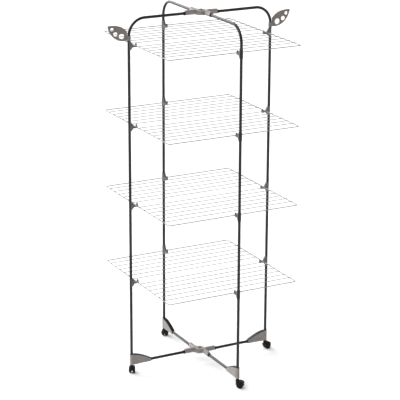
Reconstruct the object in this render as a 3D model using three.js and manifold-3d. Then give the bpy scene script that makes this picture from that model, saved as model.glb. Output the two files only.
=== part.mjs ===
// Folding clothes drying rack: two crossing tube frames on casters, joined by a pivoting
// hub at the top and at the bottom, with four levels of hinged wire shelves between them
// and a leaf-shaped hanger wing on the left and right posts.
// Millimetres, +Z up. The origin is on the floor under the pivot axis of the two frames.
// Frame A runs along X (left and right posts), frame B along Y (front and back posts).

import * as THREE from 'three';
import * as BufferGeometryUtils from 'three/addons/utils/BufferGeometryUtils.js';
import Module from 'manifold-3d';

const wasm = await Module();
wasm.setup();

// ---------- driving dimensions ----------

const POST_RADIUS_POSITION = 355; // pivot axis to each post axis
const SIDE_OFFSET = 12; // each tube runs beside the pivot axis by this much
const TUBE_RADIUS = 6.5;
const TUBE_WALL = 1.0;
const BEND_RADIUS = 78; // centreline radius of the top corner
const BOTTOM_TUBE_Z = 57;
const TOP_TUBE_Z = 1701;
const POST_FOOT_Z = 47;
const TUBE_END_GAP = 2.6; // between the end of a bottom tube and its post
const FIT_GAP = 0.6; // bore radius over tube radius; leaves 0.3 mm at the facets

const SHELF_LEVELS = 4;
const SHELF_FIRST_Z = 465; // cross wires of the lowest shelf
const SHELF_PITCH = 373.3;
const SHELF_HALF_SIZE = 330; // pivot axis to the rim rod
const RIM_RADIUS = 2;
const WIRE_RADIUS = 1.5;
const WIRE_LIFT = 3; // cross wires lie this far above the rim rod
const WIRES_PER_HALF = 6;
const FIRST_WIRE_Y = 38.3;
const WIRE_PITCH = 48.2;
const SHELF_HINGE_Y = 20;
const HINGE_BAR_HALF = 17.5;
const HINGE_BAR_SINK = 0.5; // the bar is pressed this far into its clip

const CLIP_HALF_HEIGHT = 21;
const CLIP_SADDLE_RADIUS = 9;
const CLIP_SADDLE_EDGE = 2; // the saddle wraps the post this far past its axis
const CLIP_GABLE_REACH = 19;
const CLIP_SEAT_REACH = 25; // post axis to the rim rod held in the hook
const CLIP_HOOK_REACH = 39;
const CLIP_HOOK_RISE = 10.5;
const CLIP_HOOK_ROOT = 9; // thickness of the upturned tip at the arm
const CLIP_HOOK_TIP = 5; // and at its top
const CLIP_HOOK_LEAN = 2;
const CLIP_ARM_DEPTH = 8.5;
const CLIP_WIDTH = 10;

const GUSSET_RISE = 42; // above the bottom tube's axis
const GUSSET_REACH = 99; // inwards from the post axis
const GUSSET_DROP = 10.5;
const GUSSET_WIDTH = 16;
const SLEEVE_RADIUS = 8.8; // round the tubes where they enter the gusset

const HUB_DISC_RADIUS = 22;
const HUB_SLEEVE_START = 23;
const HUB_SLEEVE_END = 75;
const HUB_SLEEVE_WIDTH = 19;
const HUB_BELOW = 9.5; // casting, from the tube axis down
const HUB_ABOVE = 13.5; // and up
const HUB_PARTING = 2; // height of the face between the two castings
const HUB_TUBE_START = 31;
const PIN_RADIUS = 5;
const PIN_HEAD_RADIUS = 7.5;

const LEAF_THICKNESS = 6;
const LEAF_COLLAR_RADIUS = 9.2;
const LEAF_COLLAR_LOW = 1604;
const LEAF_COLLAR_HEIGHT = 22;
const LEAF_ROOT = 8.2; // the blade starts inside the collar wall
// The blade's edge, anticlockwise from its heel: curves given as two control points and an
// end. Each pair is the reach from the post axis and the height over the collar's foot.
const LEAF_HEEL = [16, 0];
const LEAF_EDGE = [
  [[48, -3], [84, 14], [98, 53]],
  [[101, 61], [105, 70], [102, 74]],
  [[76, 76.5], [44, 72], [26, 58]],
  [[18, 51.5], [12, 46], [LEAF_ROOT, 41]],
];
const LEAF_HOLES = [
  { reach: 36.2, rise: 22.2, radius: 13 },
  { reach: 66.4, rise: 34.1, radius: 10.5 },
  { reach: 82.5, rise: 57.1, radius: 8 },
];

const WHEEL_RADIUS = 17;
const WHEEL_WIDTH = 9.6;
const WHEEL_INNER_FACE = 4.9; // from the caster's middle plane
const AXLE_RADIUS = 3;
const CASTER_TRAIL = 13;
const CASTER_WEB = 8;
const CASTER_HOOD_GAP = 1;
const CASTER_HOOD_WALL = 1.8;
const HOOD_START = Math.PI * 0.14; // hood angles about the axle, from the trailing side
const HOOD_END = Math.PI * 0.98;
const CASTER_NECK_RADIUS = 8;
const CASTER_NECK_TOP_Z = 45.5;
const STEM_RADIUS = 5;
const STEM_TOP_Z = 87;

const GAP = 0.3;
const ROUND_SIDES = 12;
const WIRE_SIDES = 6;
const WHEEL_SIDES = 20;

// Each quarter of the rack: which way its post lies from the pivot axis, the side its
// tubes are offset to, and the way its caster trails.
const QUARTERS = [
  { name: 'right', frame: 'a', turn: 0, side: -1, caster: 10 },
  { name: 'back', frame: 'b', turn: 90, side: 1, caster: 45 },
  { name: 'left', frame: 'a', turn: 180, side: -1, caster: 60 },
  { name: 'front', frame: 'b', turn: -90, side: 1, caster: -45 },
];

// ---------- materials ----------

function finish(color, roughness, metalness) {
  return new THREE.MeshStandardMaterial({ color, roughness, metalness });
}

const anthracite = finish(0x2e2d30, 0.3, 0.8);
const whiteWire = finish(0xe9e9e6, 0.4, 0.1);
const taupePlastic = finish(0x8a817c, 0.5, 0);
const darkPlastic = finish(0x5e5955, 0.5, 0);
const blackPlastic = finish(0x161616, 0.45, 0);
const pinSteel = finish(0x4a484a, 0.35, 0.9);

// ---------- solids ----------

function toSolid(geometry) {
  const bare = geometry.index ? geometry.toNonIndexed() : geometry.clone();
  bare.deleteAttribute('normal');
  bare.deleteAttribute('uv');
  const merged = BufferGeometryUtils.mergeVertices(bare, 1e-4);
  const mesh = new wasm.Mesh({
    numProp: 3,
    vertProperties: new Float32Array(merged.attributes.position.array),
    triVerts: new Uint32Array(merged.index.array),
  });
  return new wasm.Manifold(mesh);
}

function toGeometry(solid) {
  const mesh = solid.getMesh();
  const geometry = new THREE.BufferGeometry();
  geometry.setAttribute('position', new THREE.BufferAttribute(mesh.vertProperties, 3));
  geometry.setIndex(new THREE.BufferAttribute(mesh.triVerts, 1));
  geometry.computeVertexNormals();
  return geometry;
}

function join(geometries) {
  return geometries.map(toSolid).reduce((whole, piece) => whole.add(piece));
}

// A cylinder from one point to another.
function rod(from, to, radius, sides) {
  const start = new THREE.Vector3(...from);
  const end = new THREE.Vector3(...to);
  const geometry = new THREE.CylinderGeometry(radius, radius, start.distanceTo(end), sides);
  const direction = end.clone().sub(start).normalize();
  const turn = new THREE.Quaternion().setFromUnitVectors(new THREE.Vector3(0, 1, 0), direction);
  geometry.applyQuaternion(turn);
  geometry.translate(...start.add(end).multiplyScalar(0.5).toArray());
  return geometry;
}

// A cylinder on the Z axis, between two heights.
function upright(low, high, radius, sides = ROUND_SIDES) {
  return rod([0, 0, low], [0, 0, high], radius, sides);
}

// A cylinder parallel to X, between two places on it.
function alongX(from, to, z, radius) {
  return rod([from, 0, z], [to, 0, z], radius, ROUND_SIDES);
}

function box(low, high) {
  const size = low.map((value, i) => high[i] - value);
  const middle = low.map((value, i) => (high[i] + value) / 2);
  const geometry = new THREE.BoxGeometry(...size);
  geometry.translate(...middle);
  return geometry;
}

// A plate of the given width whose outline is drawn in the X-Z plane, centred on y = 0.
function plate(outline, width, curveSegments) {
  const options = { depth: width, bevelEnabled: false, curveSegments };
  const geometry = new THREE.ExtrudeGeometry(outline, options);
  geometry.rotateX(Math.PI / 2);
  geometry.translate(0, width / 2, 0);
  return geometry;
}

// The corners of a regular polygon that stands in for a circle.
function circlePoints(x, y, radius, sides) {
  const points = [];
  for (let i = 0; i < sides; i += 1) {
    const angle = (2 * Math.PI * i) / sides;
    points.push(new THREE.Vector2(x + radius * Math.cos(angle), y + radius * Math.sin(angle)));
  }
  return points;
}

function named(name, geometry, material) {
  const mesh = new THREE.Mesh(geometry, material.clone());
  mesh.name = name;
  return mesh;
}

// ---------- tubes ----------

// The centreline of a post with its top bend and arm. It is straight, then an arc, then
// straight again, and only the arc is divided.
class BentTubePath extends THREE.Curve {
  constructor(bendSteps) {
    super();
    this.bendSteps = bendSteps;
  }

  getUtoTmapping(u) {
    return u;
  }

  // The angle turned so far, and how far along the leading or trailing straight.
  place(t) {
    const station = t * (this.bendSteps + 2) - 1;
    const turned = THREE.MathUtils.clamp(station / this.bendSteps, 0, 1);
    return {
      angle: (turned * Math.PI) / 2,
      lead: Math.min(station, 0),
      trail: Math.max(station - this.bendSteps, 0),
    };
  }

  getPoint(t, target = new THREE.Vector3()) {
    const { angle, lead, trail } = this.place(t);
    const bendX = POST_RADIUS_POSITION - BEND_RADIUS * (1 - Math.cos(angle));
    const bendZ = TOP_TUBE_Z - BEND_RADIUS * (1 - Math.sin(angle));
    const leadLength = TOP_TUBE_Z - BEND_RADIUS - POST_FOOT_Z;
    const trailLength = POST_RADIUS_POSITION - BEND_RADIUS - HUB_TUBE_START;
    return target.set(bendX - trail * trailLength, 0, bendZ + lead * leadLength);
  }

  getTangent(t, target = new THREE.Vector3()) {
    const { angle } = this.place(t);
    return target.set(-Math.sin(angle), 0, Math.cos(angle));
  }
}

function ringSection() {
  const section = new THREE.Shape(circlePoints(0, 0, TUBE_RADIUS, ROUND_SIDES));
  section.holes.push(new THREE.Path(circlePoints(0, 0, TUBE_RADIUS - TUBE_WALL, ROUND_SIDES)));
  return section;
}

function postTube() {
  const bendSteps = 8;
  const options = {
    steps: bendSteps + 2,
    extrudePath: new BentTubePath(bendSteps),
    bevelEnabled: false,
  };
  return new THREE.ExtrudeGeometry(ringSection(), options);
}

function bottomTube() {
  const end = POST_RADIUS_POSITION - TUBE_RADIUS - TUBE_END_GAP;
  const outside = alongX(HUB_TUBE_START, end, BOTTOM_TUBE_Z, TUBE_RADIUS);
  const bore = alongX(HUB_TUBE_START - 1, end + 1, BOTTOM_TUBE_Z, TUBE_RADIUS - TUBE_WALL);
  return toGeometry(toSolid(outside).subtract(toSolid(bore)));
}

// ---------- gusset at the foot of a post ----------

// Drawn with the post on the Z axis and z = 0 at the bottom tube's axis.
function gusset() {
  const outline = new THREE.Shape();
  outline.moveTo(0, -GUSSET_DROP);
  outline.lineTo(-GUSSET_REACH, -SLEEVE_RADIUS);
  outline.lineTo(-GUSSET_REACH, SLEEVE_RADIUS);
  outline.bezierCurveTo(
    -GUSSET_REACH * 0.84, GUSSET_RISE * 0.4,
    -GUSSET_REACH * 0.42, GUSSET_RISE * 0.95,
    -SLEEVE_RADIUS, GUSSET_RISE,
  );
  outline.lineTo(0, GUSSET_RISE);
  const body = join([
    plate(outline, GUSSET_WIDTH, 8),
    upright(-GUSSET_DROP, GUSSET_RISE, SLEEVE_RADIUS),
  ]);
  const bores = join([
    upright(-GUSSET_DROP - 1, GUSSET_RISE + 1, TUBE_RADIUS + FIT_GAP),
    alongX(-GUSSET_REACH - 1, 0, 0, TUBE_RADIUS + FIT_GAP),
  ]);
  return toGeometry(body.subtract(bores));
}

// ---------- hubs ----------

// One casting of a hub, with a sleeve to each side of the pivot. The lower casting's disc
// is under the parting face and the upper casting's disc is over it.
function hubCasting(side, isUpper) {
  const parting = isUpper ? HUB_PARTING + GAP / 2 : HUB_PARTING - GAP / 2;
  const low = isUpper ? parting : -HUB_BELOW;
  const high = isUpper ? HUB_ABOVE : parting;
  const halfWidth = HUB_SLEEVE_WIDTH / 2;
  const pieces = [upright(low, high, HUB_DISC_RADIUS, 2 * ROUND_SIDES)];
  const bores = [upright(low - 1, high + 1, PIN_RADIUS + GAP * 1.5)];
  for (const way of [1, -1]) {
    const middle = way * side * SIDE_OFFSET;
    const near = way * HUB_SLEEVE_START;
    const far = way * HUB_SLEEVE_END;
    pieces.push(box(
      [Math.min(near, far), middle - halfWidth, -HUB_BELOW],
      [Math.max(near, far), middle + halfWidth, HUB_ABOVE],
    ));
    pieces.push(box(
      [Math.min(0, near + way), Math.min(0, middle + way * side * halfWidth), low],
      [Math.max(0, near + way), Math.max(0, middle + way * side * halfWidth), high],
    ));
    bores.push(rod(
      [way * (HUB_TUBE_START - 1), middle, 0],
      [far + way, middle, 0],
      TUBE_RADIUS + FIT_GAP,
      ROUND_SIDES,
    ));
  }
  return toGeometry(join(pieces).subtract(join(bores)));
}

function hubPin() {
  const head = 3;
  const profile = [
    new THREE.Vector2(0, -HUB_BELOW - head),
    new THREE.Vector2(PIN_HEAD_RADIUS, -HUB_BELOW - head),
    new THREE.Vector2(PIN_HEAD_RADIUS, -HUB_BELOW - GAP),
    new THREE.Vector2(PIN_RADIUS, -HUB_BELOW - GAP),
    new THREE.Vector2(PIN_RADIUS, HUB_ABOVE + GAP),
    new THREE.Vector2(PIN_HEAD_RADIUS, HUB_ABOVE + GAP),
    new THREE.Vector2(PIN_HEAD_RADIUS, HUB_ABOVE + head),
    new THREE.Vector2(0, HUB_ABOVE + head),
  ];
  const geometry = new THREE.LatheGeometry(profile, ROUND_SIDES);
  geometry.rotateX(Math.PI / 2);
  return geometry;
}

function hub(place, z) {
  const group = new THREE.Group();
  group.position.z = z;
  group.add(named(`hub_${place}_a`, hubCasting(-1, false), taupePlastic));
  const upper = named(`hub_${place}_b`, hubCasting(1, true), taupePlastic);
  upper.rotation.z = Math.PI / 2;
  group.add(upper);
  group.add(named(`hub_${place}_pin`, hubPin(), pinSteel));
  return group;
}

// ---------- shelf clips ----------

// A saddle on the inner side of the post, with a gable and an upturned hook. Drawn with the
// post on the Z axis, the hook towards -X, and z = 0 at the seat of the rim rod.
function clipSolid() {
  const outline = new THREE.Shape();
  outline.moveTo(0, CLIP_HALF_HEIGHT);
  outline.lineTo(-CLIP_SADDLE_RADIUS, CLIP_HALF_HEIGHT);
  outline.lineTo(-CLIP_GABLE_REACH, 0);
  outline.lineTo(-CLIP_HOOK_REACH + CLIP_HOOK_ROOT, 0);
  outline.lineTo(-CLIP_HOOK_REACH + CLIP_HOOK_LEAN + CLIP_HOOK_TIP, CLIP_HOOK_RISE);
  outline.lineTo(-CLIP_HOOK_REACH + CLIP_HOOK_LEAN, CLIP_HOOK_RISE);
  outline.lineTo(-CLIP_HOOK_REACH, -CLIP_ARM_DEPTH);
  outline.lineTo(-CLIP_GABLE_REACH, -CLIP_ARM_DEPTH);
  outline.lineTo(-CLIP_SADDLE_RADIUS, -CLIP_HALF_HEIGHT);
  outline.lineTo(0, -CLIP_HALF_HEIGHT);
  const body = join([
    plate(outline, CLIP_WIDTH, 1),
    upright(-CLIP_HALF_HEIGHT, CLIP_HALF_HEIGHT, CLIP_SADDLE_RADIUS),
  ]);
  const beyond = CLIP_HALF_HEIGHT + 1;
  const bore = upright(-beyond, beyond, TUBE_RADIUS + FIT_GAP);
  const open = box([CLIP_SADDLE_EDGE, -2 * beyond, -beyond], [2 * beyond, 2 * beyond, beyond]);
  return body.subtract(toSolid(bore)).subtract(toSolid(open));
}

// The left and right clips also hold the fixed bar that the two half shelves hinge on.
// The bar is centred on the pivot axis, so it lies off the clip's middle by the offset.
function clipWithHingeBar(side) {
  const x = -CLIP_SEAT_REACH;
  const z = RIM_RADIUS - HINGE_BAR_SINK;
  const from = [x, -side * SIDE_OFFSET - HINGE_BAR_HALF, z];
  const to = [x, -side * SIDE_OFFSET + HINGE_BAR_HALF, z];
  return clipSolid().add(toSolid(rod(from, to, RIM_RADIUS, WIRE_SIDES)));
}

// ---------- half shelves ----------

// The half on the +Y side: a U of rim rod that starts at the hinge, with the cross wires
// welded on top of its two arms. z = 0 at the rim rod's axis.
function halfShelf() {
  const edge = SHELF_HALF_SIZE;
  const corner = edge + RIM_RADIUS;
  const wireEnd = edge + RIM_RADIUS * 0.7;
  const pieces = [rod([-corner, edge, 0], [corner, edge, 0], RIM_RADIUS, WIRE_SIDES)];
  for (const x of [-edge, edge]) {
    pieces.push(rod([x, SHELF_HINGE_Y, 0], [x, edge, 0], RIM_RADIUS, WIRE_SIDES));
  }
  for (let i = 0; i < WIRES_PER_HALF; i += 1) {
    const y = FIRST_WIRE_Y + i * WIRE_PITCH;
    const from = [-wireEnd, y, WIRE_LIFT];
    const to = [wireEnd, y, WIRE_LIFT];
    pieces.push(rod(from, to, WIRE_RADIUS, WIRE_SIDES));
  }
  return toGeometry(join(pieces));
}

function shelfRimZ(level) {
  return SHELF_FIRST_Z + level * SHELF_PITCH - WIRE_LIFT;
}

function shelves() {
  const group = new THREE.Group();
  for (let level = 0; level < SHELF_LEVELS; level += 1) {
    for (const [half, turn] of [['back', 0], ['front', Math.PI]]) {
      const mesh = named(`shelf_${level + 1}_${half}`, halfShelf(), whiteWire);
      mesh.position.z = shelfRimZ(level);
      mesh.rotation.z = turn;
      group.add(mesh);
    }
  }
  return group;
}

// ---------- leaf hangers ----------

// A blade on a collar that turns on the post. Drawn with the post on the Z axis, the blade
// towards +X, and z = 0 at the collar's foot.
function leafHanger() {
  const outline = new THREE.Shape();
  outline.moveTo(LEAF_ROOT, 1);
  outline.lineTo(...LEAF_HEEL);
  for (const [first, second, end] of LEAF_EDGE) {
    outline.bezierCurveTo(...first, ...second, ...end);
  }
  for (const hole of LEAF_HOLES) {
    const points = circlePoints(hole.reach, hole.rise, hole.radius, 2 * ROUND_SIDES);
    outline.holes.push(new THREE.Path(points));
  }
  const body = join([
    plate(outline, LEAF_THICKNESS, 8),
    upright(0, LEAF_COLLAR_HEIGHT, LEAF_COLLAR_RADIUS),
  ]);
  const bore = upright(-1, LEAF_COLLAR_HEIGHT + 1, TUBE_RADIUS + FIT_GAP);
  return toGeometry(body.subtract(toSolid(bore)));
}

// ---------- casters ----------

// The housing is drawn with the stem on the Z axis and the wheels trailing towards +X.
function casterHousing() {
  const hoodInner = WHEEL_RADIUS + CASTER_HOOD_GAP;
  const hoodOuter = hoodInner + CASTER_HOOD_WALL;
  const halfWidth = WHEEL_INNER_FACE + WHEEL_WIDTH;
  const neckLow = WHEEL_RADIUS + hoodInner;
  const hood = new THREE.Shape();
  hood.absarc(CASTER_TRAIL, WHEEL_RADIUS, hoodOuter, HOOD_START, HOOD_END, false);
  hood.absarc(CASTER_TRAIL, WHEEL_RADIUS, hoodInner, HOOD_END, HOOD_START, true);
  const web = new THREE.Shape();
  web.absarc(CASTER_TRAIL, WHEEL_RADIUS, hoodInner + 1, HOOD_START, HOOD_END, false);
  web.absarc(CASTER_TRAIL, WHEEL_RADIUS, WHEEL_RADIUS * 0.42, Math.PI, 2 * Math.PI, false);
  const axleEnds = [-halfWidth, halfWidth].map((y) => [CASTER_TRAIL, y, WHEEL_RADIUS]);
  const body = join([
    plate(hood, 2 * halfWidth, 8),
    plate(web, CASTER_WEB, 6),
    rod(...axleEnds, AXLE_RADIUS, ROUND_SIDES),
    box(
      [-CASTER_NECK_RADIUS, -CASTER_WEB / 2, WHEEL_RADIUS],
      [CASTER_NECK_RADIUS, CASTER_WEB / 2, neckLow + 1],
    ),
    upright(neckLow, CASTER_NECK_TOP_Z, CASTER_NECK_RADIUS),
    upright(neckLow, STEM_TOP_Z, STEM_RADIUS),
  ]);
  return toGeometry(body);
}

// A ring turned about its axle, with a flat of its rim facing straight down.
function casterWheel(way) {
  const rim = WHEEL_RADIUS / Math.cos(Math.PI / WHEEL_SIDES);
  const bore = AXLE_RADIUS + 0.5;
  const near = WHEEL_INNER_FACE;
  const far = WHEEL_INNER_FACE + WHEEL_WIDTH;
  const profile = [
    new THREE.Vector2(bore, near),
    new THREE.Vector2(rim, near),
    new THREE.Vector2(rim, far - 2),
    new THREE.Vector2(rim - 2, far),
    new THREE.Vector2(bore, far),
    new THREE.Vector2(bore, near),
  ];
  const geometry = new THREE.LatheGeometry(profile, WHEEL_SIDES);
  geometry.rotateY(Math.PI / WHEEL_SIDES);
  if (way < 0) {
    geometry.rotateX(Math.PI);
  }
  geometry.translate(CASTER_TRAIL, 0, WHEEL_RADIUS);
  return geometry;
}

function caster(quarter) {
  const group = new THREE.Group();
  group.position.set(POST_RADIUS_POSITION, quarter.side * SIDE_OFFSET, 0);
  group.rotation.z = THREE.MathUtils.degToRad(quarter.caster - quarter.turn);
  group.add(named(`caster_${quarter.name}_housing`, casterHousing(), blackPlastic));
  group.add(named(`caster_${quarter.name}_wheel_1`, casterWheel(1), blackPlastic));
  group.add(named(`caster_${quarter.name}_wheel_2`, casterWheel(-1), blackPlastic));
  return group;
}

// ---------- assembly ----------

function quarterFrame(quarter) {
  const group = new THREE.Group();
  group.rotation.z = THREE.MathUtils.degToRad(quarter.turn);
  const offset = quarter.side * SIDE_OFFSET;
  const foot = named(`gusset_${quarter.name}`, gusset(), taupePlastic);
  foot.position.set(POST_RADIUS_POSITION, 0, BOTTOM_TUBE_Z);
  const pieces = [
    named(`post_${quarter.name}`, postTube(), anthracite),
    named(`bottom_tube_${quarter.name}`, bottomTube(), anthracite),
    foot,
  ];
  for (let level = 0; level < SHELF_LEVELS; level += 1) {
    const solid = quarter.frame === 'a' ? clipWithHingeBar(quarter.side) : clipSolid();
    const clip = named(`clip_${quarter.name}_${level + 1}`, toGeometry(solid), darkPlastic);
    const seatClearance = quarter.frame === 'a' ? HINGE_BAR_SINK : -GAP;
    clip.position.set(POST_RADIUS_POSITION, 0, shelfRimZ(level) - RIM_RADIUS + seatClearance);
    pieces.push(clip);
  }
  if (quarter.frame === 'a') {
    const leaf = named(`leaf_hanger_${quarter.name}`, leafHanger(), taupePlastic);
    leaf.position.set(POST_RADIUS_POSITION, 0, LEAF_COLLAR_LOW);
    pieces.push(leaf);
  }
  for (const piece of pieces) {
    piece.position.y = offset;
    group.add(piece);
  }
  group.add(caster(quarter));
  return group;
}

const rack = new THREE.Group();
for (const quarter of QUARTERS) {
  rack.add(quarterFrame(quarter));
}
rack.add(hub('bottom', BOTTOM_TUBE_Z));
rack.add(hub('top', TOP_TUBE_Z));
rack.add(shelves());

export default rack;
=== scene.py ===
import math

import bmesh
import bpy
from mathutils import Matrix, Vector

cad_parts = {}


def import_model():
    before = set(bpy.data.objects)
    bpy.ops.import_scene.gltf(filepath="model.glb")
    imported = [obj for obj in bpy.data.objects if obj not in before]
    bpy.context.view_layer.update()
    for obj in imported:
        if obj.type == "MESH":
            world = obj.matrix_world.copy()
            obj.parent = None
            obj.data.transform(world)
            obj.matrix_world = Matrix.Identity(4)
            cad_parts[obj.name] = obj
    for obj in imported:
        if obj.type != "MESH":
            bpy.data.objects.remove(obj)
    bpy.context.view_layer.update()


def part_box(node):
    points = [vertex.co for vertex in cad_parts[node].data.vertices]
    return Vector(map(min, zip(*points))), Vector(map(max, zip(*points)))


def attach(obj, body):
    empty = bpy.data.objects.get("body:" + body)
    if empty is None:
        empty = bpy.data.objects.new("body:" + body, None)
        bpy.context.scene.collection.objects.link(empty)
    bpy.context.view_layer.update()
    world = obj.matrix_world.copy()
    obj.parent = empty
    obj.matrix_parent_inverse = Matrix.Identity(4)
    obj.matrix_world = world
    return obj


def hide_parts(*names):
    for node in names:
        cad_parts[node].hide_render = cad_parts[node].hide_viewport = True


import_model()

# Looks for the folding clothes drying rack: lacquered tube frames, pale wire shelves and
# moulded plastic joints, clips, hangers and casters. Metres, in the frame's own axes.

MM = 0.001


# ---------- places, from the frame ----------

def centre(node):
    low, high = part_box(node)
    return (low + high) / 2


def size(node):
    low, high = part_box(node)
    return high - low


BOTTOM_TUBE_Z = centre("bottom_tube_right").z
TUBE_RADIUS = size("bottom_tube_right").z / 2
TOP_TUBE_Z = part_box("post_right")[1].z - TUBE_RADIUS
POST_FOOT_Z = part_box("post_right")[0].z
POST_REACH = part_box("post_right")[1].x - TUBE_RADIUS
ARM_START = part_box("post_right")[0].x
SIDE_OFFSET = abs(centre("post_right").y)
GUSSET_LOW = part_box("gusset_right")[0].z
GUSSET_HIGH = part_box("gusset_right")[1].z
GUSSET_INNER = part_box("gusset_right")[0].x
SHELF_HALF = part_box("shelf_1_back")[1].x - 2 * MM
SHELF_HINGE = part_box("shelf_1_back")[0].y
HUB_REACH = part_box("hub_top_a")[1].x
HUB_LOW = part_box("hub_top_a")[0].z - TOP_TUBE_Z
HUB_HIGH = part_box("hub_top_b")[1].z - TOP_TUBE_Z
HUB_DISC = size("hub_top_a").y / 2
CLIP_HOOK_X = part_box("clip_right_1")[0].x - POST_REACH
CLIP_HALF = size("clip_right_1").z / 2
LEAF_SAG = 0.18 * MM
LEAF_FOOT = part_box("leaf_hanger_right")[0].z + LEAF_SAG
SHELF_NAMES = [f"shelf_{level}" for level in (1, 2, 3, 4)]

BEND_RADIUS = 78 * MM
RIM_RADIUS = 2.0 * MM
WIRE_RADIUS = 1.5 * MM
WIRE_LIFT = 3 * MM
WIRES_PER_HALF = 6
FIRST_WIRE = 38.3 * MM
WIRE_PITCH = 48.2 * MM
SLEEVE_RADIUS = 8.8 * MM
WHEEL_RADIUS = 17 * MM
CASTER_TRAIL = 13 * MM
CASTER_HALF_WIDTH = 14.5 * MM
BORE_RADIUS = TUBE_RADIUS + 0.05 * MM
EDGE_EASE = 0.8 * MM
AXIS_HOLE = 0.1 * MM  # a turned piece's outline stops this far from its axis

# Quarter name: direction of its post from the pivot, side of the offset, body, caster turn.
QUARTERS = {
    "right": (0, -1, "root", 10),
    "back": (90, 1, "frame_b", 45),
    "left": (180, -1, "root", 60),
    "front": (-90, 1, "frame_b", -45),
}


def quarter_matrix(quarter):
    """Takes x outwards from the pivot, y = 0 on the tube's own plane, to the rack's axes."""
    turn, side, _, _ = QUARTERS[quarter]
    turned = Matrix.Rotation(math.radians(turn), 4, "Z")
    return turned @ Matrix.Translation((0, side * SIDE_OFFSET, 0))


# ---------- materials ----------

def new_material(name):
    material = bpy.data.materials.new(name)
    material.use_nodes = True
    nodes = material.node_tree.nodes
    return material, nodes, material.node_tree.links, nodes["Principled BSDF"]


def noise(nodes, scale, detail):
    node = nodes.new("ShaderNodeTexNoise")
    node.inputs["Scale"].default_value = scale
    node.inputs["Detail"].default_value = detail
    return node


def object_coordinates(nodes, links, texture):
    coordinates = nodes.new("ShaderNodeTexCoord")
    links.new(coordinates.outputs["Object"], texture.inputs["Vector"])


def vary_colour(nodes, links, shader, dark, light, scale, detail=3.0):
    texture = noise(nodes, scale, detail)
    object_coordinates(nodes, links, texture)
    ramp = nodes.new("ShaderNodeValToRGB")
    ramp.color_ramp.elements[0].position = 0.3
    ramp.color_ramp.elements[1].position = 0.7
    ramp.color_ramp.elements[0].color = (*dark, 1)
    ramp.color_ramp.elements[1].color = (*light, 1)
    links.new(texture.outputs["Fac"], ramp.inputs["Fac"])
    links.new(ramp.outputs["Color"], shader.inputs["Base Color"])


def vary_roughness(nodes, links, shader, low, high, scale):
    texture = noise(nodes, scale, 4.0)
    object_coordinates(nodes, links, texture)
    span = nodes.new("ShaderNodeMapRange")
    span.inputs["To Min"].default_value = low
    span.inputs["To Max"].default_value = high
    links.new(texture.outputs["Fac"], span.inputs["Value"])
    links.new(span.outputs["Result"], shader.inputs["Roughness"])


def add_bump(nodes, links, shader, scale, strength, distance, detail=2.0):
    texture = noise(nodes, scale, detail)
    object_coordinates(nodes, links, texture)
    bump = nodes.new("ShaderNodeBump")
    bump.inputs["Strength"].default_value = strength
    bump.inputs["Distance"].default_value = distance
    links.new(texture.outputs["Fac"], bump.inputs["Height"])
    links.new(bump.outputs["Normal"], shader.inputs["Normal"])


def lacquer_material():
    """Anthracite metallic lacquer on steel tube: fine flake under a clear coat."""
    material, nodes, links, shader = new_material("anthracite_lacquer")
    vary_colour(nodes, links, shader, (0.007, 0.0068, 0.0074), (0.013, 0.0125, 0.0135), 900.0, 2.0)
    vary_roughness(nodes, links, shader, 0.28, 0.40, 60.0)
    shader.inputs["Specular IOR Level"].default_value = 0.27
    shader.inputs["Coat Weight"].default_value = 0.08
    shader.inputs["Coat Roughness"].default_value = 0.15
    add_bump(nodes, links, shader, 240.0, 0.12, 0.0003)
    return material


def wire_material():
    """Pale grey powder coat with slight orange peel; its colour is painted mid grey, well darker
    than the pale coat, as painted shade that makes the thin wires read grey, with a little random
    variation.
    """
    material, nodes, links, shader = new_material("pale_powder_coat_painted_shade")
    # painted shade: the pale coat is given a dark grey colour so that the thin wires show grey
    # against the bright floor
    vary_colour(nodes, links, shader, (0.19, 0.19, 0.188), (0.24, 0.24, 0.238), 45.0)
    vary_roughness(nodes, links, shader, 0.34, 0.48, 160.0)
    add_bump(nodes, links, shader, 700.0, 0.25, 0.0002)
    return material


def plastic_material(name, dark, light, roughness_low, roughness_high, shine=0.5):
    """Moulded plastic: faint flow marks in the colour and a fine spark-eroded grain."""
    material, nodes, links, shader = new_material(name)
    vary_colour(nodes, links, shader, dark, light, 35.0, 5.0)
    vary_roughness(nodes, links, shader, roughness_low, roughness_high, 90.0)
    shader.inputs["Specular IOR Level"].default_value = shine
    add_bump(nodes, links, shader, 1500.0, 0.35, 0.00015)
    return material


def pin_material():
    """Blackened steel with turning marks around the pin's head."""
    material, nodes, links, shader = new_material("blackened_steel")
    shader.inputs["Metallic"].default_value = 0.9
    vary_colour(nodes, links, shader, (0.05, 0.048, 0.046), (0.11, 0.105, 0.10), 300.0)
    vary_roughness(nodes, links, shader, 0.28, 0.45, 200.0)
    add_bump(nodes, links, shader, 900.0, 0.3, 0.0002)
    return material


LACQUER = lacquer_material()
PALE_WIRE_PAINTED_SHADE = wire_material()
TAUPE = plastic_material(
    "taupe_plastic", (0.215, 0.190, 0.180), (0.262, 0.236, 0.224), 0.38, 0.52)
LEAF_TAUPE = plastic_material(
    "leaf_plastic", (0.150, 0.132, 0.124), (0.188, 0.167, 0.157), 0.40, 0.54)
DARK_TAUPE = plastic_material(
    "dark_taupe_plastic", (0.088, 0.080, 0.077), (0.116, 0.106, 0.102), 0.36, 0.5)
BLACK = plastic_material(
    "black_plastic", (0.005, 0.005, 0.005), (0.010, 0.010, 0.010), 0.34, 0.5, 0.16)
TYRE = plastic_material(
    "tyre_plastic", (0.004, 0.004, 0.004), (0.008, 0.008, 0.008), 0.45, 0.62, 0.16)
PIN_STEEL = pin_material()


# ---------- mesh tools ----------

def ring(builder, points):
    return [builder.verts.new(point) for point in points]


def bridge(builder, first, second):
    count = len(first)
    for i in range(count):
        j = (i + 1) % count
        builder.faces.new((first[i], first[j], second[j], second[i]))


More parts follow.
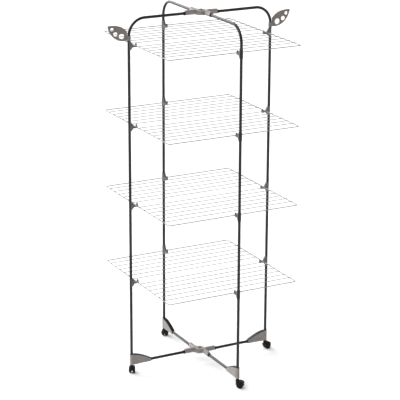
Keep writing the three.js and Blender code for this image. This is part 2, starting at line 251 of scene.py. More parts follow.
def sweep(builder, path, radius, sides, closed_ends=True):
    """A round bar along a list of points, with domed ends."""
    points = [Vector(p) for p in path]
    tangents = []
    for i in range(len(points)):
        before = points[max(i - 1, 0)]
        after = points[min(i + 1, len(points) - 1)]
        tangents.append((after - before).normalized())
    side = tangents[0].orthogonal().normalized()
    rings = []
    angles = [2 * math.pi * k / sides for k in range(sides)]
    for point, tangent in zip(points, tangents):
        side = (side - tangent * side.dot(tangent)).normalized()
        up = tangent.cross(side)
        spokes = [side * math.cos(a) + up * math.sin(a) for a in angles]
        rings.append(ring(builder, [point + spoke * radius for spoke in spokes]))
    for first, second in zip(rings, rings[1:]):
        bridge(builder, first, second)
    if closed_ends:
        cap(builder, rings[0], -tangents[0] * (radius * 0.5), True)
        cap(builder, rings[-1], tangents[-1] * (radius * 0.5), False)


def cap(builder, end, bulge, reverse):
    """A shallow dome over a bar's end, with one ring between the edge and the tip."""
    middle = sum((v.co for v in end), Vector()) / len(end)
    inner = ring(builder, [middle + (v.co - middle) * 0.7 + bulge * 0.7 for v in end])
    if reverse:
        bridge(builder, inner, end)
    else:
        bridge(builder, end, inner)
    tip = builder.verts.new(middle + bulge)
    for i in range(len(inner)):
        j = (i + 1) % len(inner)
        builder.faces.new((inner[j], inner[i], tip) if reverse else (inner[i], inner[j], tip))


def lathe(builder, profile, sides, matrix=Matrix()):
    """Turns a closed outline of (radius, height) points about Z."""
    rings = []
    for k in range(sides):
        angle = 2 * math.pi * k / sides
        turned = [Vector((r * math.cos(angle), r * math.sin(angle), z)) for r, z in profile]
        rings.append(ring(builder, [matrix @ p for p in turned]))
    for k in range(sides):
        bridge(builder, rings[k], rings[(k + 1) % sides])


def tube_wall(builder, path, outer, inner, sides):
    """An open-ended pipe along a path, with its wall closed at both ends."""
    start = len(builder.verts)
    sweep(builder, path, outer, sides, closed_ends=False)
    builder.verts.ensure_lookup_table()
    outside = builder.verts[start:]
    middle = len(builder.verts)
    sweep(builder, path, inner, sides, closed_ends=False)
    builder.verts.ensure_lookup_table()
    inside = builder.verts[middle:]
    bmesh.ops.reverse_faces(builder, faces=[f for f in builder.faces if f.verts[0] in set(inside)])
    bridge(builder, inside[:sides], outside[:sides])
    bridge(builder, outside[-sides:], inside[-sides:])


def block(builder, low, high):
    xs, ys, zs = zip(low, high)
    v = ring(builder, [(x, y, z) for z in zs for y in ys for x in xs])
    sides = ((0, 2, 3, 1), (4, 5, 7, 6), (0, 1, 5, 4), (1, 3, 7, 5), (3, 2, 6, 7), (2, 0, 4, 6))
    for face in sides:
        builder.faces.new([v[i] for i in face])


def prism(builder, outline, half_width, matrix=Matrix()):
    """A plate with a closed outline of (x, z) points, between y = -half_width and +half_width."""
    near = ring(builder, [matrix @ Vector((x, -half_width, z)) for x, z in outline])
    far = ring(builder, [matrix @ Vector((x, half_width, z)) for x, z in outline])
    bridge(builder, near, far)
    builder.faces.new(near)
    builder.faces.new(list(reversed(far)))


def arc(cx, cy, radius, start, end, steps):
    """Points on an arc, with angles in degrees."""
    angles = [math.radians(start + (end - start) * i / steps) for i in range(steps + 1)]
    return [(cx + radius * math.cos(a), cy + radius * math.sin(a)) for a in angles]


def bezier(points, steps):
    """Points on a cubic curve, without its first one."""
    a, b, c, d = (Vector(p) for p in points)
    result = []
    for i in range(1, steps + 1):
        t = i / steps
        s = 1 - t
        result.append(tuple(a * s ** 3 + b * 3 * s * s * t + c * 3 * s * t * t + d * t ** 3))
    return result


def finish_mesh(builder, name, material, sharp_degrees=40):
    bmesh.ops.recalc_face_normals(builder, faces=builder.faces)
    mesh = bpy.data.meshes.new(name)
    builder.to_mesh(mesh)
    builder.free()
    mesh.polygons.foreach_set("use_smooth", [True] * len(mesh.polygons))
    mesh.set_sharp_from_angle(angle=math.radians(sharp_degrees))
    mesh.materials.append(material)
    return mesh


def place(name, mesh, matrix=Matrix()):
    """A new piece with the mesh moved by the matrix; the object itself stays at the origin."""
    copy = mesh.copy()
    copy.name = name
    copy.transform(matrix)
    piece = bpy.data.objects.new(name, copy)
    bpy.context.scene.collection.objects.link(piece)
    return piece


def moulded(builder, name, material, voxel, smoothing=6, keep=0.5):
    """Melts overlapping solids into one skin with small fillets, as a moulding has."""
    bmesh.ops.recalc_face_normals(builder, faces=builder.faces)
    raw = bpy.data.meshes.new(name + "_raw")
    builder.to_mesh(raw)
    builder.free()
    worker = bpy.data.objects.new(name + "_worker", raw)
    bpy.context.scene.collection.objects.link(worker)
    remesh = worker.modifiers.new("remesh", "REMESH")
    remesh.mode = "VOXEL"
    remesh.voxel_size = voxel
    relax = worker.modifiers.new("relax", "SMOOTH")
    relax.factor = 0.5
    relax.iterations = smoothing
    thin = worker.modifiers.new("thin", "DECIMATE")
    thin.ratio = keep
    graph = bpy.context.evaluated_depsgraph_get()
    mesh = bpy.data.meshes.new_from_object(worker.evaluated_get(graph))
    bpy.data.objects.remove(worker)
    bpy.data.meshes.remove(raw)
    mesh.name = name
    mesh.polygons.foreach_set("use_smooth", [True] * len(mesh.polygons))
    mesh.materials.clear()
    mesh.materials.append(material)
    return mesh


# ---------- tubes ----------

TUBE_SIDES = 32
TUBE_WALL = 1.0 * MM


def post_tubes():
    bend = arc(POST_REACH - BEND_RADIUS, TOP_TUBE_Z - BEND_RADIUS, BEND_RADIUS, 0, 90, 24)
    path = [(POST_REACH, 0, POST_FOOT_Z)]
    path += [(x, 0, z) for x, z in bend]
    path.append((ARM_START, 0, TOP_TUBE_Z))
    builder = bmesh.new()
    tube_wall(builder, path, TUBE_RADIUS, TUBE_RADIUS - TUBE_WALL, TUBE_SIDES)
    mesh = finish_mesh(builder, "post_tube", LACQUER)
    low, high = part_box("bottom_tube_right")
    builder = bmesh.new()
    bottom_path = [(low.x, 0, BOTTOM_TUBE_Z), (high.x, 0, BOTTOM_TUBE_Z)]
    tube_wall(builder, bottom_path, TUBE_RADIUS, TUBE_RADIUS - TUBE_WALL, TUBE_SIDES)
    bottom = finish_mesh(builder, "bottom_tube", LACQUER)
    for quarter, (_, _, body, _) in QUARTERS.items():
        for name, shape in ((f"post_{quarter}", mesh), (f"bottom_tube_{quarter}", bottom)):
            piece = place(f"looks_{name}", shape, quarter_matrix(quarter))
            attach(piece, body)
            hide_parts(name)


# ---------- shelves ----------

RIM_CORNER = 7 * MM
WIRE_SIDES = 12
WIRE_OVERHANG = 1.4 * MM
WELD_SIZE = (2.3 * MM, 2.4 * MM, 1.3 * MM)
EYE_RADIUS = 2.9 * MM
EYE_WIRE_RADIUS = 1.1 * MM
HINGE_BAR_OVERRUN = 0.6 * MM
KNUCKLE_RADIUS = 1.7 * MM
KNUCKLE_HALF_WIDTH = 2.2 * MM
KNUCKLE_HOLE = 0.2 * MM


def rim_axis_z(node):
    """The axis of a half shelf's rim rod, which is six-sided in the frame and lies on a flat."""
    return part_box(node)[0].z + RIM_RADIUS * math.cos(math.pi / 6)


def half_shelf_mesh():
    """The +Y half, with z = 0 at the rim rod's axis."""
    edge = SHELF_HALF
    builder = bmesh.new()
    right = arc(edge - RIM_CORNER, edge - RIM_CORNER, RIM_CORNER, 0, 90, 6)
    left = arc(-edge + RIM_CORNER, edge - RIM_CORNER, RIM_CORNER, 90, 180, 6)
    hinge = SHELF_HINGE + RIM_RADIUS * 0.6
    path = [(edge, hinge, 0)] + [(x, y, 0) for x, y in right + left] + [(-edge, hinge, 0)]
    sweep(builder, path, RIM_RADIUS, WIRE_SIDES)
    for i in range(WIRES_PER_HALF):
        y = FIRST_WIRE + i * WIRE_PITCH
        reach = edge + WIRE_OVERHANG
        sweep(builder, [(-reach, y, WIRE_LIFT), (reach, y, WIRE_LIFT)], WIRE_RADIUS, WIRE_SIDES)
        for x in (-edge, edge):
            weld = Matrix.Translation((x, y, WIRE_LIFT * 0.5))
            squash = Matrix.Diagonal((*WELD_SIZE, 1))
            bmesh.ops.create_icosphere(builder, subdivisions=2, radius=1, matrix=weld @ squash)
    for x in (-edge, edge):
        eye = Matrix.Translation((x, SHELF_HINGE, 0)) @ Matrix.Rotation(math.pi / 2, 4, "Y")
        profile = arc(EYE_RADIUS, 0, EYE_WIRE_RADIUS, 0, 330, 11)
        lathe(builder, profile, 20, eye)
    return finish_mesh(builder, "half_shelf", PALE_WIRE_PAINTED_SHADE)


def shelves():
    mesh = half_shelf_mesh()
    for name in SHELF_NAMES:
        for half, turn in (("back", 0), ("front", math.pi)):
            node = f"{name}_{half}"
            matrix = Matrix.Translation((0, 0, rim_axis_z(node))) @ Matrix.Rotation(turn, 4, "Z")
            piece = place(f"looks_{node}", mesh, matrix)
            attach(piece, node)
            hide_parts(node)


def hinge_bars():
    """The short bar that lies in each left and right hook and carries the two half shelves."""
    builder = bmesh.new()
    half = SHELF_HINGE + HINGE_BAR_OVERRUN
    sweep(builder, [(0, -half, 0), (0, half, 0)], RIM_RADIUS * 0.9, WIRE_SIDES)
    knuckle = [
        (KNUCKLE_HOLE, -KNUCKLE_HALF_WIDTH), (KNUCKLE_RADIUS, -KNUCKLE_HALF_WIDTH),
        (KNUCKLE_RADIUS, KNUCKLE_HALF_WIDTH), (KNUCKLE_HOLE, KNUCKLE_HALF_WIDTH),
    ]
    for y in (-SHELF_HINGE, SHELF_HINGE):
        matrix = Matrix.Translation((0, y, 0)) @ Matrix.Rotation(math.pi / 2, 4, "Y")
        lathe(builder, knuckle, 12, matrix)
    mesh = finish_mesh(builder, "hinge_bar", PALE_WIRE_PAINTED_SHADE)
    for name in SHELF_NAMES:
        rim_z = rim_axis_z(f"{name}_back")
        for quarter, way in (("right", 1), ("left", -1)):
            matrix = Matrix.Translation((way * SHELF_HALF, 0, rim_z))
            piece = place(f"{name}_hinge_bar_{quarter}", mesh, matrix)
            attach(piece, "root")


# ---------- clips ----------

CLIP_WALL_RADIUS = 8.7 * MM
CLIP_WALL_EDGE = 1.6 * MM
CLIP_GABLE_HALF_WIDTH = 4.9 * MM
CLIP_ARM_HALF_WIDTH = 4.2 * MM
CASTING_ROOT = 7.4 * MM  # where a web starts inside the wall around a post


def collar_profile(inner, outer, low, high, ease):
    """A tube wall's outline with eased outer edges."""
    return [
        (inner, low), (outer - ease, low), (outer, low + ease),
        (outer, high - ease), (outer - ease, high), (inner, high),
    ]


def saddle(builder, inner, outer, low, high, edge, steps):
    """The part of a tube wall on the -X side of x = edge, with eased ends."""
    turn = math.degrees(math.acos(edge / outer))
    rings = []
    for radius, z in collar_profile(inner, outer, low, high, EDGE_EASE):
        wall = arc(0, 0, radius, turn, 360 - turn, steps)
        rings.append(ring(builder, [(x, y, z) for x, y in wall]))
    for first, second in zip(rings, rings[1:] + rings[:1]):
        for i in range(steps):
            builder.faces.new((first[i], first[i + 1], second[i + 1], second[i]))
    builder.faces.new([line[0] for line in rings])
    builder.faces.new([line[-1] for line in reversed(rings)])


def clip_mesh():
    """Post on the Z axis, hook towards -X, z = 0 at the seat of the rim rod."""
    builder = bmesh.new()
    saddle(builder, BORE_RADIUS, CLIP_WALL_RADIUS, -CLIP_HALF, CLIP_HALF, CLIP_WALL_EDGE, 24)
    gable = [
        (-CASTING_ROOT, CLIP_HALF - 1 * MM), (-9 * MM, CLIP_HALF - 2 * MM),
        (-13 * MM, 12 * MM), (-18.5 * MM, 1.5 * MM), (-19 * MM, -6 * MM), (-13.5 * MM, -13.5 * MM),
        (-9 * MM, -CLIP_HALF + 2 * MM), (-CASTING_ROOT, -CLIP_HALF + 1 * MM),
    ]
    prism(builder, gable, CLIP_GABLE_HALF_WIDTH)
    arm = [
        (-17 * MM, 0.4 * MM), (-21.5 * MM, 0.2 * MM), (-22.8 * MM, -1 * MM),
        (-24.2 * MM, -1.8 * MM), (-26 * MM, -1.8 * MM), (-27.6 * MM, -1 * MM),
        (-30 * MM, 1.5 * MM), (-31.8 * MM, 6 * MM), (-33 * MM, 9.6 * MM),
        (-34.6 * MM, 10.5 * MM), (-36.4 * MM, 9.6 * MM), (-38.2 * MM, 1 * MM),
        (CLIP_HOOK_X, -5.5 * MM), (-37.5 * MM, -8.4 * MM), (-17 * MM, -8.4 * MM),
    ]
    prism(builder, arm, CLIP_ARM_HALF_WIDTH)
    return moulded(builder, "clip", DARK_TAUPE, 0.7 * MM, 3, 0.45)


def clips():
    mesh = clip_mesh()
    for quarter, (_, _, body, _) in QUARTERS.items():
        for level in (1, 2, 3, 4):
            node = f"clip_{quarter}_{level}"
            low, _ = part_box(node)
            seat = Matrix.Translation((POST_REACH, 0, low.z + CLIP_HALF))
            piece = place(f"looks_{node}", mesh, quarter_matrix(quarter) @ seat)
            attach(piece, body)
            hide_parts(node)


# ---------- gussets ----------

GUSSET_CHEEK_HALF_WIDTH = 1.1 * MM
GUSSET_CHEEK_OFFSET = 6.6 * MM
GUSSET_CORE_HALF_WIDTH = 6.8 * MM
GUSSET_CORE_INSET = 4.5 * MM
GUSSET_MOUTH = 8 * MM  # half the height of its end around the bottom tube
RING_RADIUS = 8.2 * MM

def gusset_outline(inset):
    """The fan between the post and the bottom tube, drawn in by the inset."""
    x0 = POST_REACH - CASTING_ROOT
    x1 = GUSSET_INNER + inset
    low = GUSSET_LOW + inset
    high = GUSSET_HIGH - inset
    reach = POST_REACH - GUSSET_INNER
    rise = high - BOTTOM_TUBE_Z
    start = (x1, BOTTOM_TUBE_Z + GUSSET_MOUTH - inset * 0.5)
    curve = bezier([
        start,
        (POST_REACH - reach * 0.84 + inset, BOTTOM_TUBE_Z + rise * 0.4),
        (POST_REACH - reach * 0.42, BOTTOM_TUBE_Z + rise * 0.95),
        (POST_REACH - SLEEVE_RADIUS, high),
    ], 20)
    toe = (x1, BOTTOM_TUBE_Z - GUSSET_MOUTH + inset * 0.3)
    return [(x0, low + 0.5 * MM), toe, start] + curve + [(x0, high)]


def gusset_mesh():
    builder = bmesh.new()
    post_sleeve = collar_profile(BORE_RADIUS, SLEEVE_RADIUS, GUSSET_LOW, GUSSET_HIGH, EDGE_EASE)
    lathe(builder, post_sleeve, 40, Matrix.Translation((POST_REACH, 0, 0)))
    sleeve_end = POST_REACH - GUSSET_INNER - 7.5 * MM
    tube_sleeve = collar_profile(BORE_RADIUS, SLEEVE_RADIUS, 0, sleeve_end, EDGE_EASE)
    toe = Matrix.Translation((GUSSET_INNER, 0, BOTTOM_TUBE_Z))
    lathe(builder, tube_sleeve, 40, toe @ Matrix.Rotation(math.pi / 2, 4, "Y"))
    for side in (-1, 1):
        cheek = Matrix.Translation((0, side * GUSSET_CHEEK_OFFSET, 0))
        prism(builder, gusset_outline(0), GUSSET_CHEEK_HALF_WIDTH, cheek)
    block(builder, (GUSSET_INNER + 2 * MM, -7 * MM, BOTTOM_TUBE_Z - 8.8 * MM),
          (POST_REACH - CASTING_ROOT, 7 * MM, BOTTOM_TUBE_Z - 7 * MM))
    prism(builder, gusset_outline(GUSSET_CORE_INSET), GUSSET_CORE_HALF_WIDTH)
    return moulded(builder, "gusset", TAUPE, 0.95 * MM, 4, 0.5)


def gusset_strip_mesh():
    """The dark cover that closes the gusset along its arc, a little rounded at its edges."""
    builder = bmesh.new()
    half = size("gusset_right").y / 2
    rows = []
    for inset, narrowing in ((0, 1.0), (0, 0.45), (0.5, 0.05), (2.6, 0.05), (3.4, 1.0)):
        rows.append((gusset_outline(inset * MM)[2:-1], half - narrowing * MM))
    count = len(rows[0][0])
    loops = []
    for i in range(count):
        near = [(line[i][0], -half_width, line[i][1]) for line, half_width in rows]
        far = [(line[i][0], half_width, line[i][1]) for line, half_width in reversed(rows)]
        loops.append(ring(builder, near + far))
    for first, second in zip(loops, loops[1:]):
        bridge(builder, first, second)
    builder.faces.new(loops[0])
    builder.faces.new(list(reversed(loops[-1])))
    return finish_mesh(builder, "gusset_strip", BLACK)


def gusset_rings_mesh():
    """The dark rings where the post and the bottom tube leave the gusset."""
    builder = bmesh.new()
    upper = collar_profile(
        TUBE_RADIUS, RING_RADIUS, GUSSET_HIGH - 1 * MM, GUSSET_HIGH + 2.5 * MM, EDGE_EASE)
    lathe(builder, upper, 32, Matrix.Translation((POST_REACH, 0, 0)))
    toe = Matrix.Translation((GUSSET_INNER, 0, BOTTOM_TUBE_Z))
    inward = collar_profile(TUBE_RADIUS, RING_RADIUS, -1 * MM, 4 * MM, EDGE_EASE)
    lathe(builder, inward, 32, toe @ Matrix.Rotation(-math.pi / 2, 4, "Y"))
    return finish_mesh(builder, "gusset_rings", BLACK)


def gussets():
    mesh = gusset_mesh()
    strip = gusset_strip_mesh()
    ring_pair = gusset_rings_mesh()
    for quarter, (_, _, body, _) in QUARTERS.items():
        matrix = quarter_matrix(quarter)
        piece = place(f"looks_gusset_{quarter}", mesh, matrix)
        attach(piece, body)
        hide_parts(f"gusset_{quarter}")
        insert = place(f"gusset_insert_{quarter}", strip, matrix)
        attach(insert, body)
        rings = place(f"gusset_rings_{quarter}", ring_pair, matrix)
        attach(rings, body)


# ---------- hubs ----------

HUB_PARTING = 2 * MM
HUB_PARTING_GAP = 0.15 * MM
HUB_BORE = 5.6 * MM
HUB_SLEEVE_START = 23 * MM
HUB_SLEEVE_RADIUS = 9.4 * MM
HUB_RIDGE_HALF_WIDTH = 6 * MM
HUB_RING_RADIUS = 8.8 * MM
PIN_HEAD = 7.5 * MM
PIN_SHANK = 5 * MM

def hub_casting_mesh(side, is_upper):
    """A casting with a sleeve each way along X and its own half of the pivot disc."""
    low = HUB_PARTING + HUB_PARTING_GAP if is_upper else HUB_LOW
    high = HUB_HIGH if is_upper else HUB_PARTING - HUB_PARTING_GAP
    builder = bmesh.new()
    lathe(builder, collar_profile(HUB_BORE, HUB_DISC, low, high, 1.2 * MM), 56)
    sleeve = collar_profile(
        BORE_RADIUS, HUB_SLEEVE_RADIUS, 0, HUB_REACH - HUB_SLEEVE_START, 1 * MM)
    for way in (-1, 1):
        middle = way * side * SIDE_OFFSET
        start = way * HUB_SLEEVE_START
        mouth = Matrix.Translation((start, middle, 0))
        lathe(builder, sleeve, 40, mouth @ Matrix.Rotation(way * math.pi / 2, 4, "Y"))
        ridge_low, ridge_high = sorted((start, way * (HUB_REACH - 1 * MM)))
        block(builder, (ridge_low, middle - HUB_RIDGE_HALF_WIDTH, TUBE_RADIUS + 0.6 * MM),
              (ridge_high, middle + HUB_RIDGE_HALF_WIDTH, HUB_HIGH))
        near, far = sorted((0, start + way * 2 * MM))
        edge_low, edge_high = sorted((0, middle + way * side * 9 * MM))
        block(builder, (near, edge_low, low), (far, edge_high, high))
    return moulded(builder, "hub_casting", TAUPE, 0.95 * MM, 4, 0.5)


def pin_mesh(low, high):
    """A pin with the same rounded head at both ends."""
    builder = bmesh.new()
    head = [
        (AXIS_HOLE, 0), (PIN_HEAD * 0.55, 0.2 * MM), (PIN_HEAD * 0.9, 1 * MM),
        (PIN_HEAD, 2 * MM), (PIN_HEAD, 2.7 * MM), (PIN_SHANK, 2.7 * MM),
    ]
    profile = [(radius, low + depth) for radius, depth in head]
    profile += [(radius, high - depth) for radius, depth in reversed(head)]
    lathe(builder, profile, 40)
    return finish_mesh(builder, "pin", PIN_STEEL)


def sleeve_rings_mesh(side):
    """The dark rings in the mouths of a casting's sleeves."""
    builder = bmesh.new()
    profile = collar_profile(TUBE_RADIUS, HUB_RING_RADIUS, -1 * MM, 6.5 * MM, EDGE_EASE)
    for way in (-1, 1):
        middle = way * side * SIDE_OFFSET
        mouth = Matrix.Translation((way * HUB_REACH, middle, 0))
        lathe(builder, profile, 36, mouth @ Matrix.Rotation(way * math.pi / 2, 4, "Y"))
    return finish_mesh(builder, "sleeve_rings", BLACK)


def hubs():
    quarter_turn = Matrix.Rotation(math.pi / 2, 4, "Z")
    for place_name, z in (("top", TOP_TUBE_Z), ("bottom", BOTTOM_TUBE_Z)):
        lift = Matrix.Translation((0, 0, z))
        for letter, side, upper, matrix, body in (
            ("a", -1, False, lift, "root"),
            ("b", 1, True, lift @ quarter_turn, "frame_b"),
        ):
            node = f"hub_{place_name}_{letter}"
            piece = place(f"looks_{node}", hub_casting_mesh(side, upper), matrix)
            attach(piece, body)
            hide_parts(node)
            rings = place(f"{node}_rings", sleeve_rings_mesh(side), matrix)
            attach(rings, body)
        pin_low, pin_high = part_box(f"hub_{place_name}_pin")
        pin = place(f"looks_hub_{place_name}_pin", pin_mesh(pin_low.z, pin_high.z))
        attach(pin, "root")
        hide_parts(f"hub_{place_name}_pin")


# ---------- leaf hangers ----------

# Each hole: distance out from the post, height over the collar's foot, radius.
LEAF_HOLES = (
    (36.2 * MM, 22.2 * MM, 13 * MM),
    (66.4 * MM, 34.1 * MM, 10.5 * MM),
    (82.5 * MM, 57.1 * MM, 8 * MM),
)
LEAF_ROOT = 8.2
LEAF_HEEL = (16, 0)
LEAF_EDGE = (
    ((48, -3), (84, 14), (98, 53)),
    ((101, 61), (105, 70), (102, 74)),
    ((76, 76.5), (44, 72), (26, 58)),
    ((18, 51.5), (12, 46), (LEAF_ROOT, 41)),
)
LEAF_RIM = 2.2 * MM
LEAF_COLLAR_HEIGHT = 22 * MM
LEAF_COLLAR_RADIUS = 8.9 * MM
LEAF_THICKNESS = 4.4 * MM
HOLE_RIM_HALF_WIDTH = 2.8 * MM


def leaf_outline(inset):
    """The blade's edge in X-Z, drawn in by the inset, from its foot round to its root."""
    points = [Vector((LEAF_ROOT, 1)), Vector(LEAF_HEEL)]
    for first, second, end in LEAF_EDGE:
        points += [Vector(p) for p in bezier([points[-1], first, second, end], 14)]
    points = [p * MM for p in points]
    drawn = []
    for i, point in enumerate(points):
        along = points[min(i + 1, len(points) - 1)] - points[max(i - 1, 0)]
        inwards = Vector((-along.y, along.x)).normalized()
        drawn.append(tuple(point + inwards * inset))
    return drawn


def filled_plate(name, loops, thickness, bevel):
    """A flat plate with rounded edges from outlines in X-Z; later loops are holes."""
    curve = bpy.data.curves.new(name, "CURVE")
    curve.dimensions = "2D"
    curve.fill_mode = "BOTH"
    curve.extrude = thickness / 2 - bevel
    curve.bevel_depth = bevel
    curve.bevel_resolution = 3
    curve.offset = -bevel
    for loop in loops:
        spline = curve.splines.new("POLY")
        spline.points.add(len(loop) - 1)
        for point, (x, z) in zip(spline.points, loop):
            point.co = (x, z, 0, 1)
        spline.use_cyclic_u = True
    worker = bpy.data.objects.new(name, curve)
    bpy.context.scene.collection.objects.link(worker)
    graph = bpy.context.evaluated_depsgraph_get()
    mesh = bpy.data.meshes.new_from_object(worker.evaluated_get(graph))
    bpy.data.objects.remove(worker)
    mesh.transform(Matrix.Rotation(math.pi / 2, 4, "X"))
    return mesh


def leaf_mesh():
    circles = [arc(x, z, r, 0, 352.5, 47) for x, z, r in LEAF_HOLES]
    outline = leaf_outline(0.6 * MM)
    plate = filled_plate("leaf_blade", [outline] + circles, LEAF_THICKNESS, 1 * MM)
    builder = bmesh.new()
    builder.from_mesh(plate)
    for x, z, r in LEAF_HOLES:
        turn = Matrix.Translation((x, 0, z)) @ Matrix.Rotation(math.pi / 2, 4, "X")
        inner, outer = r + 0.1 * MM, r + 1.5 * MM
        rim = [
            (inner, -HOLE_RIM_HALF_WIDTH), (outer, -HOLE_RIM_HALF_WIDTH),
            (outer, HOLE_RIM_HALF_WIDTH), (inner, HOLE_RIM_HALF_WIDTH),
        ]
        lathe(builder, rim, 48, turn)
    sweep(builder, [(x, 0, z) for x, z in leaf_outline(LEAF_RIM)[1:]], LEAF_RIM, 12)
    collar = collar_profile(BORE_RADIUS, LEAF_COLLAR_RADIUS, 0, LEAF_COLLAR_HEIGHT, EDGE_EASE)
    lathe(builder, collar, 40)
    return moulded(builder, "leaf", LEAF_TAUPE, 0.75 * MM, 3, 0.5)


def leaves():
    mesh = leaf_mesh()
    for quarter in ("left", "right"):
        node = f"leaf_hanger_{quarter}"
        matrix = quarter_matrix(quarter) @ Matrix.Translation((POST_REACH, 0, LEAF_FOOT))
        piece = place(f"looks_{node}", mesh, matrix)
        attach(piece, f"leaf_{quarter}")
        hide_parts(node)


# ---------- casters ----------

HOOD_SHOULDER = 22 * MM
HOOD_TAPER = 0.26
HOOD_GAP = 0.9 * MM
HOOD_WALL = 1.9 * MM
HOOD_START = 25  # degrees from +X
HOOD_END = 176
WEB_HALF_WIDTH = 3.6 * MM
STEM_RADIUS = 5 * MM
STEM_TOP = 87 * MM
WHEEL_INNER_FACE = 4.6 * MM


def caster_housing_mesh():
    """Stem on the Z axis, wheels trailing towards +X."""
    builder = bmesh.new()
    hood_inner = WHEEL_RADIUS + HOOD_GAP
    hood_outer = hood_inner + HOOD_WALL
    hood_top = WHEEL_RADIUS + hood_outer
    hood = arc(CASTER_TRAIL, WHEEL_RADIUS, hood_outer, HOOD_START, HOOD_END, 28)
    hood += arc(CASTER_TRAIL, WHEEL_RADIUS, hood_inner, HOOD_END, HOOD_START, 28)
    first = len(builder.verts)
    prism(builder, hood, CASTER_HALF_WIDTH)
    builder.verts.ensure_lookup_table()
    for vertex in builder.verts[first:]:
        climb = max(0, (vertex.co.z - HOOD_SHOULDER) / (hood_top - HOOD_SHOULDER))
        vertex.co.y *= 1 - HOOD_TAPER * climb
    web = arc(CASTER_TRAIL, WHEEL_RADIUS, hood_inner + 1 * MM, HOOD_START, HOOD_END, 28)
    web += arc(CASTER_TRAIL, WHEEL_RADIUS, 8 * MM, 180, 360, 16)
    prism(builder, web, WEB_HALF_WIDTH)
    block(builder, (-8 * MM, -WEB_HALF_WIDTH, WHEEL_RADIUS), (8 * MM, WEB_HALF_WIDTH, 37 * MM))
    neck = [
        (AXIS_HOLE, 33 * MM), (9.6 * MM, 33.5 * MM), (8.4 * MM, 38 * MM),
        (6.9 * MM, 43 * MM), (6.4 * MM, 46 * MM), (AXIS_HOLE, 46 * MM),
    ]
    lathe(builder, neck, 36)
    stem = [
        (AXIS_HOLE, 44 * MM), (STEM_RADIUS, 44 * MM),
        (STEM_RADIUS, STEM_TOP), (AXIS_HOLE, STEM_TOP),
    ]
    lathe(builder, stem, 32)
    return moulded(builder, "caster_housing", BLACK, 0.75 * MM, 3, 0.5)


def caster_wheel_mesh(way):
    """One of the pair, with a rounded tread, a dished face and a hub cap."""
    near = WHEEL_INNER_FACE
    far = CASTER_HALF_WIDTH
    r = WHEEL_RADIUS
    profile = [
        (3.2 * MM, near), (r - 1.2 * MM, near), (r - 0.3 * MM, near + 0.4 * MM),
        (r, near + 1.4 * MM), (r, far - 4.4 * MM), (r - 0.6 * MM, far - 2.8 * MM),
        (r - 2 * MM, far - 1 * MM), (r - 3.2 * MM, far - 0.2 * MM), (r - 4.2 * MM, far - 0.4 * MM),
        (r - 5 * MM, far - 1.6 * MM), (8.5 * MM, far - 1.6 * MM),
        (7.5 * MM, far - 0.8 * MM), (5.4 * MM, far - 0.2 * MM), (3.2 * MM, far),
    ]
    builder = bmesh.new()
    axle = Matrix.Translation((CASTER_TRAIL, 0, r))
    turn = axle @ Matrix.Rotation(-way * math.pi / 2, 4, "X")
    lathe(builder, profile, 56, turn)
    hub_cap = [
        (AXIS_HOLE, far - 1 * MM), (3.3 * MM, far - 1 * MM),
        (3.1 * MM, far - 0.2 * MM), (AXIS_HOLE, far),
    ]
    lathe(builder, hub_cap, 28, turn)
    return finish_mesh(builder, "caster_wheel", TYRE)


def casters():
    housing = caster_housing_mesh()
    wheels = {1: caster_wheel_mesh(1), 2: caster_wheel_mesh(-1)}
    for quarter, (_, _, _, caster_turn) in QUARTERS.items():
        post = quarter_matrix(quarter) @ Vector((POST_REACH, 0, 0))
        matrix = Matrix.Translation(post) @ Matrix.Rotation(math.radians(caster_turn), 4, "Z")
        piece = place(f"looks_caster_{quarter}_housing", housing, matrix)
        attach(piece, f"caster_{quarter}")
        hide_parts(f"caster_{quarter}_housing")
        for number, mesh in wheels.items():
            wheel = place(f"looks_caster_{quarter}_wheel_{number}", mesh, matrix)
            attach(wheel, f"wheels_{quarter}")
            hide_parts(f"caster_{quarter}_wheel_{number}")


# ---------- stage, light and camera ----------

def stage():
    builder = bmesh.new()
    bmesh.ops.create_grid(builder, x_segments=1, y_segments=1, size=30)
    material, _, _, shader = new_material("pale_floor")
    shader.inputs["Base Color"].default_value = (0.93, 0.93, 0.93, 1)
    shader.inputs["Roughness"].default_value = 0.9
    shader.inputs["Specular IOR Level"].default_value = 0.1
    floor = place("floor", finish_mesh(builder, "floor", material))


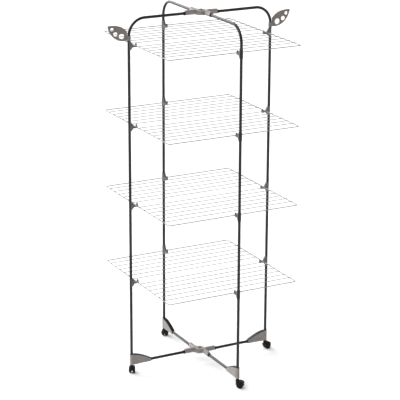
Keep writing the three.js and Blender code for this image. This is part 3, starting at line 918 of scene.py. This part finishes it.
def world():
    """Soft white surroundings, brighter behind the rack than in front of it."""
    background = bpy.data.worlds.new("studio")
    bpy.context.scene.world = background
    background.use_nodes = True
    nodes = background.node_tree.nodes
    links = background.node_tree.links
    coordinates = nodes.new("ShaderNodeTexCoord")
    axes = nodes.new("ShaderNodeSeparateXYZ")
    span = nodes.new("ShaderNodeMapRange")
    span.inputs["From Min"].default_value = -0.9
    span.inputs["From Max"].default_value = 0.9
    span.inputs["To Min"].default_value = 0.25
    span.inputs["To Max"].default_value = 0.95
    links.new(coordinates.outputs["Generated"], axes.inputs["Vector"])
    links.new(axes.outputs["Y"], span.inputs["Value"])
    links.new(span.outputs["Result"], nodes["Background"].inputs["Strength"])
    nodes["Background"].inputs["Color"].default_value = (1, 1, 1, 1)


def sun(name, towards, strength, spread):
    """A wide soft source in the direction given, seen from the rack."""
    data = bpy.data.lights.new(name, "SUN")
    data.energy = strength
    data.angle = math.radians(spread)
    light = bpy.data.objects.new(name, data)
    bpy.context.scene.collection.objects.link(light)
    light.rotation_euler = Vector(towards).to_track_quat("Z", "Y").to_euler()


def camera():
    azimuth = math.radians(-27.87)
    elevation = math.radians(17.82)
    roll = math.radians(0.24)
    distance = 7.852
    aim = Vector((-0.0021, -0.0025, 0.8142))
    level = math.cos(elevation)
    away = Vector((math.sin(azimuth) * level, -math.cos(azimuth) * level, math.sin(elevation)))
    data = bpy.data.cameras.new("camera")
    data.lens = 151.53
    data.sensor_width = 36
    data.clip_end = 100
    view = bpy.data.objects.new("camera", data)
    bpy.context.scene.collection.objects.link(view)
    facing = (-away).to_track_quat("-Z", "Y").to_matrix().to_4x4()
    stand = Matrix.Translation(aim + away * distance)
    view.matrix_world = stand @ facing @ Matrix.Rotation(roll, 4, "Z")
    bpy.context.scene.camera = view


camera()
post_tubes()
shelves()
hinge_bars()
clips()
gussets()
hubs()
leaves()
casters()
stage()
world()
sun("key", (-0.60, -0.10, 0.80), 1.6, 50)
sun("rim", (-0.30, 0.85, 0.43), 3.1, 50)
bpy.context.scene.view_settings.view_transform = "Standard"
